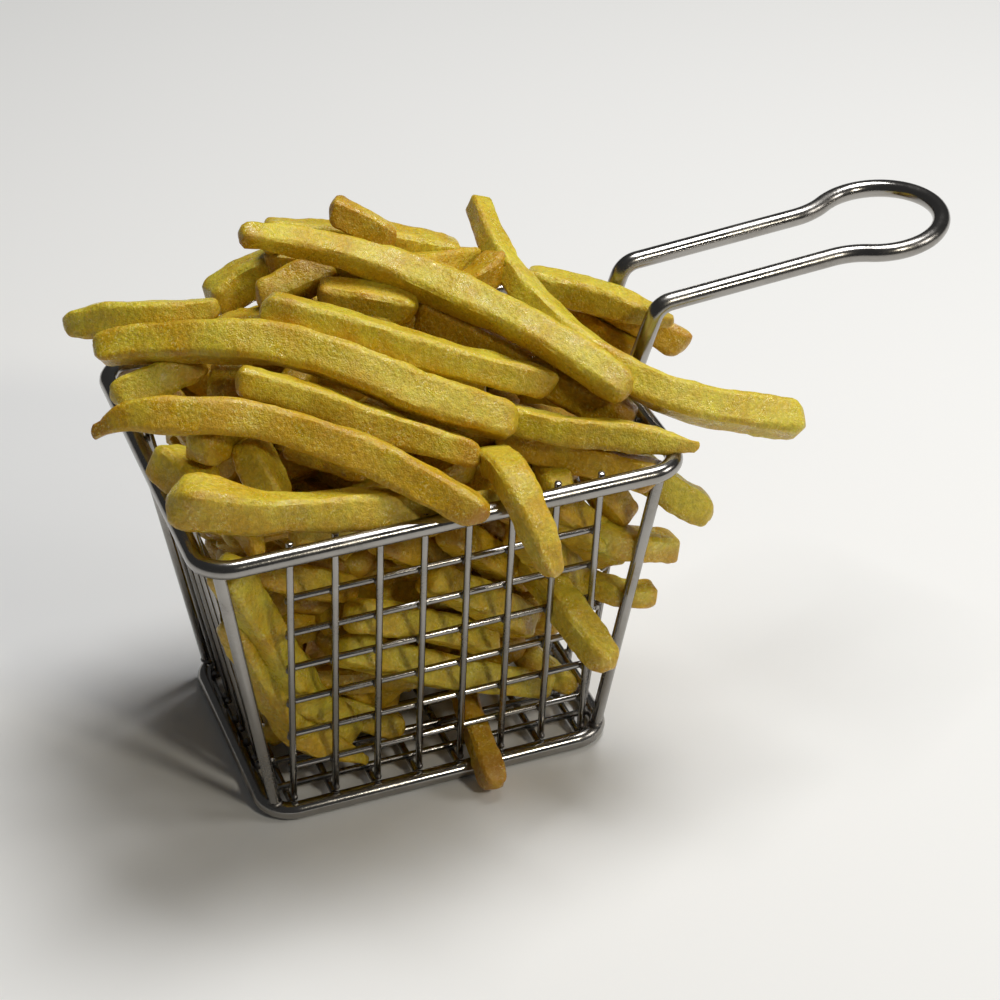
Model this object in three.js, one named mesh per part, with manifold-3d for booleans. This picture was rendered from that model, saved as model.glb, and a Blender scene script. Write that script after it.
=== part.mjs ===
// A portion of french fries heaped in a small rectangular basket of welded steel wire.
// Millimetres, +Z up. X runs along the long sides, with the handle towards +X. The front is towards -Y.
import * as THREE from "three";
import { mergeVertices } from "three/addons/utils/BufferGeometryUtils.js";
import Module from "manifold-3d";

const wasm = await Module();
wasm.setup();

const gap = 0.3;

// Wire diameters.
const frameWire = 3.8;
const postWire = 2.6;
const meshWire = 1.5;

// The two rims, measured between wire centres, and the height from one to the other.
const topRim = { length: 100, depth: 82.5, corner: 7 };
const baseRim = { length: 76, depth: 57, corner: 6.8 };
const rimHeight = 73.8;

// Wire mesh: the long sides, the short sides and the floor.
// "past" is how far a row reaches beyond the middle of the last upright.
const longSide = { uprights: 8, pitch: 9.3, foot: 1.35, past: 0.6 };
const shortSide = { uprights: 5, pitch: 10.6, foot: 2.4, past: 1.25 };
const rows = { count: 6, lowest: 9, pitch: 9.85 };
const floorCross = { count: 6, pitch: 8.6 };
const weldBite = 0.14;
// How far the top ends of the uprights lie below the top of the rim they are welded to.
const topShort = 0.9;

// Corner posts: how far their ends stand inside the corners of the rims.
const postInset = { top: 3.4, base: 2 };

// Handle, in one plane that rises gently away from the basket.
const handle = { halfGap: 9.4, footX: 51.2, bendX: 57.5, bendRise: 19.1, bendRadius: 4.5, slope: 0.07 };
const loop = { centreX: 112, radius: 13.7, flareStartX: 97 };

// Fries are cut square.
const fryWidth = 9.4;

const steel = { color: 0x9a9893, metalness: 1, roughness: 0.22 };
const potato = { color: 0xd0b446, metalness: 0, roughness: 0.6 };

function solid(geometry) {
  const bare = geometry.clone();
  bare.deleteAttribute("normal");
  bare.deleteAttribute("uv");
  const merged = mergeVertices(bare, 1e-4);
  const mesh = new wasm.Mesh({
    numProp: 3,
    vertProperties: new Float32Array(merged.attributes.position.array),
    triVerts: new Uint32Array(merged.index.array),
  });
  return new wasm.Manifold(mesh);
}

function geometryOf(body) {
  const mesh = body.getMesh();
  const geometry = new THREE.BufferGeometry();
  geometry.setAttribute("position", new THREE.BufferAttribute(mesh.vertProperties, 3));
  geometry.setIndex(new THREE.BufferAttribute(mesh.triVerts, 1));
  return geometry;
}

function join(geometries) {
  return geometryOf(geometries.map(solid).reduce((whole, next) => whole.add(next)));
}

function piece(name, geometry, look) {
  const mesh = new THREE.Mesh(geometry, new THREE.MeshStandardMaterial(look));
  mesh.name = name;
  return mesh;
}

// A straight rod between two points, with a flat of its section turned towards the side it is given.
function rod(from, to, radius, sides, endRadius = radius) {
  const along = new THREE.Vector3().subVectors(to, from);
  const shape = new THREE.CylinderGeometry(endRadius, radius, along.length(), sides);
  shape.rotateY(Math.PI / sides);
  shape.translate(0, along.length() / 2, 0);
  const turn = new THREE.Quaternion().setFromUnitVectors(new THREE.Vector3(0, 1, 0), along.normalize());
  return shape.applyQuaternion(turn).translate(from.x, from.y, from.z);
}

function roundedRectangle(path, length, depth, corner) {
  const x = length / 2 - corner;
  const y = depth / 2 - corner;
  path.absarc(x, y, corner, 0, Math.PI / 2);
  path.absarc(-x, y, corner, Math.PI / 2, Math.PI);
  path.absarc(-x, -y, corner, Math.PI, 1.5 * Math.PI);
  path.absarc(x, -y, corner, 1.5 * Math.PI, 2 * Math.PI);
  path.closePath();
  return path;
}

// A rim is a closed wire of octagonal section: a flat ring whose four edges are bevelled.
function rim({ length, depth, corner }) {
  const halfFlat = (frameWire / 2) * Math.tan(Math.PI / 8);
  const bevel = frameWire / 2 - halfFlat;
  const grow = 2 * halfFlat;
  const shape = roundedRectangle(new THREE.Shape(), length + grow, depth + grow, corner + halfFlat);
  const hole = roundedRectangle(new THREE.Path(), length - grow, depth - grow, corner - halfFlat);
  shape.holes.push(hole);
  const ring = new THREE.ExtrudeGeometry(shape, {
    depth: grow,
    curveSegments: 5,
    bevelSize: bevel,
    bevelThickness: bevel,
    bevelSegments: 1,
  });
  ring.translate(0, 0, -halfFlat);
  return join([ring]);
}

function evenly(count, pitch) {
  return Array.from({ length: count }, (_, i) => (i - (count - 1) / 2) * pitch);
}

// Radius of a hexagon with the same area as the round mesh wire.
const hexRadius = (meshWire / 2) * Math.sqrt(Math.PI / (1.5 * Math.sqrt(3)));
const hexFlat = hexRadius * Math.cos(Math.PI / 6);

// A side's mesh, drawn upright: uprights in the XY plane and rows behind them at -Z.
function sideMesh({ uprights, pitch, foot, past }, slopeHeight) {
  const rowZ = weldBite - 2 * hexFlat;
  const reach = ((uprights - 1) * pitch) / 2 + past;
  const top = slopeHeight + frameWire / 2 - topShort;
  const scale = slopeHeight / rimHeight;
  const standing = evenly(uprights, pitch).map((x) =>
    rod(new THREE.Vector3(x, foot, 0), new THREE.Vector3(x, top, 0), hexRadius, 6));
  const lying = Array.from({ length: rows.count }, (_, i) => {
    const y = (rows.lowest + i * rows.pitch) * scale;
    return rod(new THREE.Vector3(-reach, y, rowZ), new THREE.Vector3(reach, y, rowZ), hexRadius, 6);
  });
  return join([...standing, ...lying]);
}

// Hangs a side's mesh inside the two rims, leaning with them.
function side(name, wires, turn, baseHalf, topHalf, shift = 0) {
  const lean = Math.atan((topHalf - baseHalf) / rimHeight);
  const inward = frameWire / 2 + gap + hexRadius;
  const mesh = piece(name, sideMesh(wires, rimHeight / Math.cos(lean)), steel);
  mesh.rotation.x = Math.PI / 2 + lean;
  mesh.position.set(shift, -baseHalf + inward * Math.cos(lean), inward * Math.sin(lean));
  const place = new THREE.Group();
  place.rotation.z = turn;
  place.add(mesh);
  return place;
}

// How far a floor wire reaches from the middle to the base rim, which it meets short where the corner turns in.
function reachToBase(half, crossHalf, place) {
  const past = Math.max(0, Math.abs(place) + meshWire / 2 - (crossHalf - baseRim.corner));
  const turnedIn = baseRim.corner - Math.sqrt(baseRim.corner ** 2 - past ** 2);
  return half - frameWire / 2 - 1.5 * gap - turnedIn;
}

function floorMesh() {
  const halfX = baseRim.length / 2;
  const halfY = baseRim.depth / 2;
  const crossZ = 2 * hexFlat - weldBite;
  const along = evenly(longSide.uprights, longSide.pitch).map((x) => {
    const y = reachToBase(halfY, halfX, x);
    return rod(new THREE.Vector3(x, -y, 0), new THREE.Vector3(x, y, 0), hexRadius, 6);
  });
  const across = evenly(floorCross.count, floorCross.pitch).map((y) => {
    const x = reachToBase(halfX, halfY, y);
    return rod(new THREE.Vector3(-x, y, crossZ), new THREE.Vector3(x, y, crossZ), hexRadius, 6);
  });
  return join([...along, ...across]);
}

function post(signX, signY) {
  const corner = (box, inset, z) =>
    new THREE.Vector3(signX * (box.length / 2 - inset), signY * (box.depth / 2 - inset), z);
  const from = corner(baseRim, postInset.base, 0);
  const to = corner(topRim, postInset.top, rimHeight);
  const up = new THREE.Vector3().subVectors(to, from).divideScalar(rimHeight);
  const clear = frameWire / 2 + gap;
  const foot = from.clone().addScaledVector(up, clear + gap);
  const head = to.clone().addScaledVector(up, -clear);
  return join([rod(foot, head, postWire / 2, 8)]);
}

// A wire bent through the points it is given, with one section at each of them.
class BentWire extends THREE.Curve {
  constructor(points) {
    super();
    this.points = points;
  }
  getPoint(t, target = new THREE.Vector3()) {
    const place = t * (this.points.length - 1);
    const index = Math.min(Math.floor(place), this.points.length - 2);
    return target.lerpVectors(this.points[index], this.points[index + 1], place - index);
  }
  getPointAt(u, target) {
    return this.getPoint(u, target);
  }
  getTangentAt(u, target) {
    return this.getTangent(u, target);
  }
}

function arc(centreX, centreY, radius, fromAngle, toAngle, steps) {
  return Array.from({ length: steps + 1 }, (_, i) => {
    const angle = fromAngle + ((toAngle - fromAngle) * i) / steps;
    return new THREE.Vector2(centreX + radius * Math.cos(angle), centreY + radius * Math.sin(angle));
  });
}

// The outline of half the handle seen from above, from the straight run to the tip.
function loopOutline() {
  const run = loop.centreX - loop.flareStartX;
  const square = loop.radius ** 2 - run ** 2 - handle.halfGap ** 2;
  const flareRadius = square / (2 * (handle.halfGap - loop.radius));
  const flareY = handle.halfGap + flareRadius;
  const meet = Math.atan2(flareY, -run);
  return [
    ...arc(loop.flareStartX, flareY, flareRadius, -Math.PI / 2, meet - Math.PI, 4),
    ...arc(loop.centreX, 0, loop.radius, meet, 0, 9).slice(1),
  ];
}

function handleWire() {
  const footZ = rimHeight + frameWire / 2 + gap;
  const bendZ = rimHeight + handle.bendRise;
  const riserLean = Math.atan2(handle.bendX - handle.footX, bendZ - footZ);
  const rise = Math.atan(handle.slope);
  const turn = Math.PI / 2 - riserLean - rise;
  const setback = handle.bendRadius * Math.tan(turn / 2);
  const centreX = handle.bendX + setback * Math.cos(rise) + handle.bendRadius * Math.sin(rise);
  const centreZ = bendZ + setback * Math.sin(rise) - handle.bendRadius * Math.cos(rise);
  const bend = arc(centreX, centreZ, handle.bendRadius, Math.PI - riserLean, Math.PI / 2 + rise, 5);
  const half = [
    new THREE.Vector3(handle.footX, handle.halfGap, footZ),
    ...bend.map((p) => new THREE.Vector3(p.x, handle.halfGap, p.y)),
    ...loopOutline().map((p) => new THREE.Vector3(p.x, p.y, bendZ + handle.slope * (p.x - handle.bendX))),
  ];
  const mirrored = half.slice(0, -1).reverse().map((p) => new THREE.Vector3(p.x, -p.y, p.z));
  const points = [...half, ...mirrored];
  const section = new THREE.Shape(arc(0, 0, frameWire / 2, Math.PI / 8, Math.PI / 8 + 1.75 * Math.PI, 7));
  return join([
    new THREE.ExtrudeGeometry(section, { steps: points.length - 1, extrudePath: new BentWire(points) }),
  ]);
}

// One fry: a square stick that runs through its points, thinner or thicker by its scale.
function fry(scale, ...stops) {
  const points = stops.map((stop) => new THREE.Vector3(...stop));
  const radius = (scale * fryWidth) / Math.SQRT2;
  const sticks = points.slice(1).map((to, i) => {
    const overlap = new THREE.Vector3().subVectors(to, points[i]).setLength(i ? fryWidth / 4 : 0);
    return solid(rod(points[i].clone().sub(overlap), to, radius, 4));
  });
  return sticks.reduce((whole, next) => whole.add(next));
}

// Fries that show one by one, from the top of the heap down, each with the places it runs through.
const placedFries = [
  fry(1, [-23, 19, 110], [44, -28, 85]),
  fry(0.95, [34, 34, 101], [38, 0, 94], [50, -18, 85], [79, -36, 75]),
  fry(0.85, [36, 11, 96], [65, -5, 84]),
  fry(0.8, [40, 3, 86], [66, -4, 78.5]),
  fry(1, [-21, 6, 101], [31, -19, 87]),
  fry(1.1, [-54, 16, 92], [-28, 2, 97], [18, -28, 85]),
  fry(0.95, [-32, -9, 94], [10, -34, 81]),
  fry(0.95, [-61, -13, 92], [-54, -13, 94], [-19, -29, 90], [5, -50, 82]),
  fry(1.1, [-50, -27, 84], [12, -29, 73]),
  fry(0.9, [-57, 28, 93], [-26, 14, 95]),
  fry(0.75, [21, -20, 84], [52, -40, 80.5]),
  fry(0.8, [9, -42, 89], [17, -56, 66]),
  fry(1, [-2, 28, 108], [8, 18, 100]),
  fry(1, [-14, 30, 103], [20, 30, 99]),
  fry(0.9, [-33, 28, 92], [-10, 20, 103]),
  fry(0.75, [42, -27, 67], [50, -30, 63.5], [59, -36, 57]),
  fry(0.7, [36, -24.3, 52], [53, -31, 46]),
  fry(0.62, [34, -25.5, 34], [50, -27, 31.5]),
  fry(0.57, [28.7, -24, 34.5], [28.9, -39, 33], [35, -46, 26]),
  fry(0.45, [10, -18, 5.4], [10, -29, 5.3], [7.5, -38, 1.8]),
];

// The bulk of the heap: it fills the basket to just inside the mesh and mounds up above the rim.
function bulk() {
  const sideClear = frameWire + 2 * meshWire;
  const floorZ = 3 * hexFlat + gap;
  const shape = new THREE.BoxGeometry(1, 1, 1, 9, 8, 6);
  const place = shape.attributes.position;
  for (let i = 0; i < place.count; i++) {
    const u = 2 * place.getX(i);
    const v = 2 * place.getY(i);
    const level = place.getZ(i) + 0.5;
    const brimZ = rimHeight - 8;
    const crown = 26 * (1 - u * u) * (1 - (v - 0.2) ** 2 / 1.5);
    const lumps = 2.5 * Math.sin(5 * u + 4 * v) * Math.cos(6 * v - 2 * u);
    const z = floorZ + level * (brimZ - floorZ + crown + lumps * level);
    const share = Math.min(z / rimHeight, brimZ / rimHeight);
    const dent = 1.2 + Math.sin(0.23 * z + 3 * u + 2 * v);
    const halfX = THREE.MathUtils.lerp(baseRim.length, topRim.length, share) / 2 - sideClear - dent;
    const halfY = THREE.MathUtils.lerp(baseRim.depth, topRim.depth, share) / 2 - sideClear - dent;
    place.setXYZ(i, u * halfX, v * halfY, z);
  }
  return solid(shape);
}

function heap() {
  return geometryOf(placedFries.reduce((whole, next) => whole.add(next), bulk()));
}

function basketWithFries() {
  const object = new THREE.Group();
  const base = piece("bottom_rim", rim(baseRim), steel);
  const top = piece("top_rim", rim(topRim), steel);
  top.position.z = rimHeight;
  const floor = piece("floor_mesh", floorMesh(), steel);
  object.add(base, top, floor);
  const posts = { front_left: [-1, -1], front_right: [1, -1], back_left: [-1, 1], back_right: [1, 1] };
  for (const [corner, signs] of Object.entries(posts)) {
    object.add(piece(`post_${corner}`, post(...signs), steel));
  }
  const long = [baseRim.depth / 2, topRim.depth / 2];
  const short = [baseRim.length / 2, topRim.length / 2];
  object.add(side("front_mesh", longSide, 0, ...long, 0.6));
  object.add(side("back_mesh", longSide, Math.PI, ...long));
  object.add(side("right_mesh", shortSide, Math.PI / 2, ...short));
  object.add(side("left_mesh", shortSide, -Math.PI / 2, ...short));
  object.add(piece("handle", handleWire(), steel));
  object.add(piece("fries", heap(), potato));
  return object;
}

// The origin is under the middle of the whole object, on the surface it stands on.
function standOnOrigin(object) {
  const box = new THREE.Box3().setFromObject(object, true);
  const middle = box.getCenter(new THREE.Vector3());
  object.position.set(-middle.x, -middle.y, -box.min.z);
  object.updateMatrixWorld(true);
  return object;
}

export default standOnOrigin(basketWithFries());
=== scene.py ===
import math

import bpy
import numpy as np
from mathutils import Matrix, Vector, noise


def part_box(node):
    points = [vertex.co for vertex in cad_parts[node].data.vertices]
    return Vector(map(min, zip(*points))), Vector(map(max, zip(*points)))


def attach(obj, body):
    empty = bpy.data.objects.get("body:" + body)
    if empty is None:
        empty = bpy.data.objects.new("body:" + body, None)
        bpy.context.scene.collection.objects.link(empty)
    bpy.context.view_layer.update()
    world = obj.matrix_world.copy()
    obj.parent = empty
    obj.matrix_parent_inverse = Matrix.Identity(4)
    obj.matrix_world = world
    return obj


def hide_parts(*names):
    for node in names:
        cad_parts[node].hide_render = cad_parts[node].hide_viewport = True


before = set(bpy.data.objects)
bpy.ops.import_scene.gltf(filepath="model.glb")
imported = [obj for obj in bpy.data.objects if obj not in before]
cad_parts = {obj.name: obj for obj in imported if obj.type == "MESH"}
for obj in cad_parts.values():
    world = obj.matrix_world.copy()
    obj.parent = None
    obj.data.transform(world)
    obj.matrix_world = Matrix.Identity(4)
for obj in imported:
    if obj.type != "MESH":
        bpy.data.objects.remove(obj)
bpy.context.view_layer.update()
mm = 0.001

# The places below are millimetres from the middle of the base rim.
rimLow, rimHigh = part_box("bottom_rim")
basketMiddle = (rimLow + rimHigh) / 2


def place(x, y, z):
    return basketMiddle + Vector((x, y, z)) * mm


def clearSelection():
    if bpy.context.object and bpy.context.object.mode != "OBJECT":
        bpy.ops.object.mode_set(mode="OBJECT")
    bpy.ops.object.select_all(action="DESELECT")


def pick(piece):
    clearSelection()
    piece.select_set(True)
    bpy.context.view_layer.objects.active = piece


def settle(piece):
    pick(piece)
    bpy.ops.object.transform_apply(location=True, rotation=True, scale=True)
    return piece


def twin(piece, matrix):
    other = piece.copy()
    other.data = piece.data.copy()
    other.data.transform(matrix)
    bpy.context.scene.collection.objects.link(other)
    return other


def joined(pieces, name):
    pick(pieces[0])
    for piece in pieces[1:]:
        piece.select_set(True)
    if len(pieces) > 1:
        bpy.ops.object.join()
    whole = bpy.context.object
    whole.name = name
    whole.data.name = name
    return whole


def drop(piece):
    bpy.data.objects.remove(piece)


# Materials are built from the small helpers below, which add one node each.


def groupSockets(name, inputs, outputs):
    group = bpy.data.node_groups.new(name, "ShaderNodeTree")
    for label, kind, value in inputs:
        socket = group.interface.new_socket(label, in_out="INPUT", socket_type=kind)
        socket.default_value = value
    for label, kind in outputs:
        group.interface.new_socket(label, in_out="OUTPUT", socket_type=kind)
    return group, group.nodes.new("NodeGroupInput"), group.nodes.new("NodeGroupOutput")


def addNode(tree, kind, **settings):
    node = tree.nodes.new(kind)
    for key, value in settings.items():
        if key in node.inputs:
            node.inputs[key].default_value = value
        else:
            setattr(node, key, value)
    return node


def addNoise(tree, vector, scale, detail=2.0, roughness=0.5):
    node = tree.nodes.new("ShaderNodeTexNoise")
    node.inputs["Scale"].default_value = scale
    node.inputs["Detail"].default_value = detail
    node.inputs["Roughness"].default_value = roughness
    tree.links.new(vector, node.inputs["Vector"])
    return node.outputs["Fac"]


def addRange(tree, value, low, high, toLow=0.0, toHigh=1.0):
    node = tree.nodes.new("ShaderNodeMapRange")
    tree.links.new(value, node.inputs["Value"])
    node.inputs["From Min"].default_value = low
    node.inputs["From Max"].default_value = high
    node.inputs["To Min"].default_value = toLow
    node.inputs["To Max"].default_value = toHigh
    return node.outputs["Result"]


def addMath(tree, operation, a, b):
    node = tree.nodes.new("ShaderNodeMath")
    node.operation = operation
    for socket, value in zip(node.inputs, (a, b)):
        if isinstance(value, (int, float)):
            socket.default_value = value
        else:
            tree.links.new(value, socket)
    return node.outputs[0]


def addMix(tree, fac, a, b, blend="MIX"):
    node = tree.nodes.new("ShaderNodeMix")
    node.data_type = "RGBA"
    node.blend_type = blend
    for socket, value in ((node.inputs[0], fac), (node.inputs[6], a), (node.inputs[7], b)):
        if isinstance(value, (int, float)):
            socket.default_value = value
        elif isinstance(value, tuple):
            socket.default_value = (*value, 1.0)
        else:
            tree.links.new(value, socket)
    return node.outputs[2]


# Smears of oil and fingers on the metal, and the faint lines that drawing leaves along a wire.
def metalWear():
    group, entry, out = groupSockets(
        "metalWear",
        [("Vector", "NodeSocketVector", (0, 0, 0)), ("Smear", "NodeSocketFloat", 0.5)],
        [("Smears", "NodeSocketFloat"), ("Height", "NodeSocketFloat")])
    broad = addNoise(group, entry.outputs["Vector"], 90, 4)
    fine = addNoise(group, entry.outputs["Vector"], 1400, 3, 0.6)
    patches = addRange(group, broad, 0.42, 0.68)
    uneven = addMath(group, "MULTIPLY", patches, fine)
    smears = addMath(group, "MULTIPLY", uneven, entry.outputs["Smear"])
    group.links.new(smears, out.inputs["Smears"])
    group.links.new(fine, out.inputs["Height"])
    return group


steelLook = {"colour": (0.36, 0.345, 0.325), "dull": (0.22, 0.205, 0.185), "roughness": 0.15, "smear": 0.9}
weldLook = {"colour": (0.20, 0.19, 0.18), "dull": (0.07, 0.055, 0.045), "roughness": 0.34, "smear": 1.0}


def metal(name, look, wear):
    material = bpy.data.materials.new(name)
    material.use_nodes = True
    tree = material.node_tree
    shader = tree.nodes["Principled BSDF"]
    shader.inputs["Metallic"].default_value = 1.0
    where = tree.nodes.new("ShaderNodeTexCoord").outputs["Object"]
    worn = tree.nodes.new("ShaderNodeGroup")
    worn.node_tree = wear
    worn.inputs["Smear"].default_value = look["smear"]
    tree.links.new(where, worn.inputs["Vector"])
    smears = worn.outputs["Smears"]
    tree.links.new(addMix(tree, smears, look["colour"], look["dull"]), shader.inputs["Base Color"])
    rough = addRange(tree, smears, 0, 1, look["roughness"], look["roughness"] + 0.3)
    tree.links.new(rough, shader.inputs["Roughness"])
    bump = addNode(tree, "ShaderNodeBump", Strength=0.12, Distance=0.00015)
    tree.links.new(worn.outputs["Height"], bump.inputs["Height"])
    tree.links.new(bump.outputs["Normal"], shader.inputs["Normal"])
    return material


wearGroup = metalWear()
steel = metal("polishedSteelWire", steelLook, wearGroup)
weld = metal("weldSpots", weldLook, wearGroup)
print("metal ready")

# Sizes of the basket, from the middle of one wire to the middle of the next.
basket = {
    "frameWire": 3.8, "postWire": 2.6, "meshWire": 1.5,
    "topLength": 100, "topDepth": 82.5, "topCorner": 7,
    "baseLength": 76, "baseDepth": 57, "baseCorner": 6.8,
    "rimHeight": 73.8, "gap": 0.3, "topShort": 0.9,
    "postTop": 3.4, "postBase": 2.0,
    "rowCount": 6, "rowLowest": 9, "rowPitch": 9.85,
    "floorCount": 6, "floorPitch": 8.6,
}
longWires = {"uprights": 8, "pitch": 9.3, "foot": 1.35, "past": 0.6}
shortWires = {"uprights": 5, "pitch": 10.6, "foot": 2.4, "past": 1.25}
handleSizes = {
    "halfGap": 9.4, "footX": 51.2, "bendX": 57.5, "bendRise": 19.1, "bendRadius": 4.5, "slope": 0.07,
    "loopX": 112, "loopRadius": 13.7, "flareX": 97,
}


def evenly(count, pitch):
    return [(i - (count - 1) / 2) * pitch for i in range(count)]


# A cut wire: a cylinder whose two ends are turned over by the cutter.
def cutWire(length, diameter, sides=14):
    clearSelection()
    bpy.ops.mesh.primitive_cylinder_add(vertices=sides, radius=diameter / 2 * mm, depth=length * mm)
    wire = bpy.context.object
    bpy.ops.object.mode_set(mode="EDIT")
    bpy.ops.mesh.select_all(action="DESELECT")
    bpy.ops.object.mode_set(mode="OBJECT")
    for edge in wire.data.edges:
        a, b = (wire.data.vertices[i].co for i in edge.vertices)
        edge.select = abs(a.z - b.z) < 1e-6
    bpy.ops.object.mode_set(mode="EDIT")
    bpy.ops.mesh.bevel(offset=diameter * 0.16 * mm, segments=2, affect="EDGES")
    bpy.ops.object.mode_set(mode="OBJECT")
    return settle(wire)


def alongLine(start, end):
    line = end - start
    turn = Vector((0, 0, 1)).rotation_difference(line.normalized()).to_matrix().to_4x4()
    return Matrix.Translation((start + end) / 2) @ turn


# A wire bent through points, as a smooth round tube.
def bentWire(points, diameter, closed=False, roundness=5):
    clearSelection()
    bpy.ops.curve.primitive_bezier_curve_add()
    wire = bpy.context.object
    wire.data.splines.clear()
    spline = wire.data.splines.new("POLY")
    spline.points.add(len(points) - 1)
    for knot, point in zip(spline.points, points):
        knot.co = (*point, 1)
    spline.use_cyclic_u = closed
    wire.data.bevel_depth = diameter / 2 * mm
    wire.data.bevel_resolution = roundness
    wire.data.use_fill_caps = not closed
    pick(wire)
    bpy.ops.object.convert(target="MESH")
    return settle(bpy.context.object)


def weldSpot(size, flat=0.8):
    clearSelection()
    bpy.ops.mesh.primitive_uv_sphere_add(segments=10, ring_count=6, radius=size * mm)
    spot = bpy.context.object
    bpy.ops.object.mode_set(mode="EDIT")
    bpy.ops.transform.vertex_random(offset=size * 0.05 * mm, seed=3)
    bpy.ops.object.mode_set(mode="OBJECT")
    spot.scale = (1, flat, 1)
    return settle(spot)


def smooth(piece, angle=40):
    pick(piece)
    bpy.ops.object.shade_smooth_by_angle(angle=math.radians(angle))


def dressMetal(parts, spots, name, *nodes):
    for part in parts:
        part.data.materials.append(steel)
    for spot in spots:
        spot.data.materials.append(weld)
    whole = joined(parts + spots, name)
    smooth(whole)
    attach(whole, "root")
    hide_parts(*nodes)
    return whole


def arcPoints(x, y, radius, fromAngle, toAngle, steps):
    angles = [fromAngle + (toAngle - fromAngle) * i / steps for i in range(steps + 1)]
    return [(x + radius * math.cos(a), y + radius * math.sin(a)) for a in angles]


def rimWire(name, length, depth, corner, z, node):
    x, y = length / 2 - corner, depth / 2 - corner
    outline = []
    for i, (cx, cy) in enumerate(((x, y), (-x, y), (-x, -y), (x, -y))):
        outline += arcPoints(cx, cy, corner, i * math.pi / 2, (i + 1) * math.pi / 2, 14)
    ring = bentWire([place(px, py, z) for px, py in outline], basket["frameWire"], closed=True, roundness=7)
    bead = weldSpot(basket["frameWire"] * 0.53, 1)  # where the ring's two ends are butt welded, at the back
    bead.data.transform(Matrix.Translation(place(6, depth / 2, z)) @ Matrix.Diagonal((0.35, 1, 1, 1)))
    return dressMetal([ring], [bead], name, node)


def sideMatrix(turn, baseHalf, topHalf, shift=0):
    lean = math.atan((topHalf - baseHalf) / basket["rimHeight"])
    inward = basket["frameWire"] / 2 + basket["gap"] + basket["meshWire"] / 2
    foot = Vector((shift, -baseHalf + inward * math.cos(lean), inward * math.sin(lean)))
    stand = Matrix.Translation(foot * mm)
    return (Matrix.Translation(basketMiddle) @ Matrix.Rotation(turn, 4, "Z") @ stand
            @ Matrix.Rotation(math.pi / 2 + lean, 4, "X"))


# One side, drawn flat with its uprights along Y, then stood up against the two rims.
def sideMesh(name, wires, turn, baseHalf, topHalf, node, shift=0):
    matrix = sideMatrix(turn, baseHalf, topHalf, shift)
    slope = math.hypot(topHalf - baseHalf, basket["rimHeight"])
    scale = slope / basket["rimHeight"]
    top = slope + basket["frameWire"] / 2 - basket["topShort"]
    reach = (wires["uprights"] - 1) * wires["pitch"] / 2 + wires["past"]
    rowZ = -basket["meshWire"] * 0.92
    upright = cutWire(top - wires["foot"], basket["meshWire"])
    row = cutWire(2 * reach, basket["meshWire"])
    spot = weldSpot(basket["meshWire"] * 0.62, 1)
    parts, spots = [], []
    xs = evenly(wires["uprights"], wires["pitch"])
    ys = [(basket["rowLowest"] + i * basket["rowPitch"]) * scale for i in range(basket["rowCount"])]
    for x in xs:
        line = alongLine(Vector((x, wires["foot"], 0)) * mm, Vector((x, top, 0)) * mm)
        parts.append(twin(upright, matrix @ line))
        for y in ys:
            there = Matrix.Translation(Vector((x, y, rowZ / 2)) * mm)
            spots.append(twin(spot, matrix @ there @ Matrix.Diagonal((1.15, 1.15, 0.95, 1))))
        for y in (basket["frameWire"] * 0.4, slope - 0.3):  # where it is welded to the two rims
            there = Matrix.Translation(Vector((x, y, 0.62)) * mm)
            spots.append(twin(spot, matrix @ there @ Matrix.Diagonal((0.75, 0.8, 0.85, 1))))
    for y in ys:
        line = alongLine(Vector((-reach, y, rowZ)) * mm, Vector((reach, y, rowZ)) * mm)
        parts.append(twin(row, matrix @ line))
    for model in (upright, row, spot):
        drop(model)
    return dressMetal(parts, spots, name, node)


def floorReach(half, crossHalf, at):
    past = max(0, abs(at) + basket["meshWire"] / 2 - (crossHalf - basket["baseCorner"]))
    turnedIn = basket["baseCorner"] - math.sqrt(basket["baseCorner"] ** 2 - past ** 2)
    return half - basket["frameWire"] / 2 - 0.5 * basket["gap"] - turnedIn


def floorMesh():
    halfX, halfY = basket["baseLength"] / 2, basket["baseDepth"] / 2
    upper = basket["meshWire"] * 0.92
    spot = weldSpot(basket["meshWire"] * 0.62, 1)
    parts, spots = [], []
    xs = evenly(longWires["uprights"], longWires["pitch"])
    ys = evenly(basket["floorCount"], basket["floorPitch"])
    for x in xs:
        reach = floorReach(halfY, halfX, x)
        wire = cutWire(2 * reach, basket["meshWire"])
        wire.data.transform(alongLine(place(x, -reach, 0), place(x, reach, 0)))
        parts.append(wire)
        spots += [twin(spot, Matrix.Translation(place(x, y, upper / 2))) for y in ys]
        spots += [twin(spot, Matrix.Translation(place(x, y, 0))) for y in (-reach, reach)]
    for y in ys:
        reach = floorReach(halfX, halfY, y)
        wire = cutWire(2 * reach, basket["meshWire"])
        wire.data.transform(alongLine(place(-reach, y, upper), place(reach, y, upper)))
        parts.append(wire)
        spots += [twin(spot, Matrix.Translation(place(x, y, upper))) for x in (-reach, reach)]
    drop(spot)
    return dressMetal(parts, spots, "floorWires", "floor_mesh")


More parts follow.
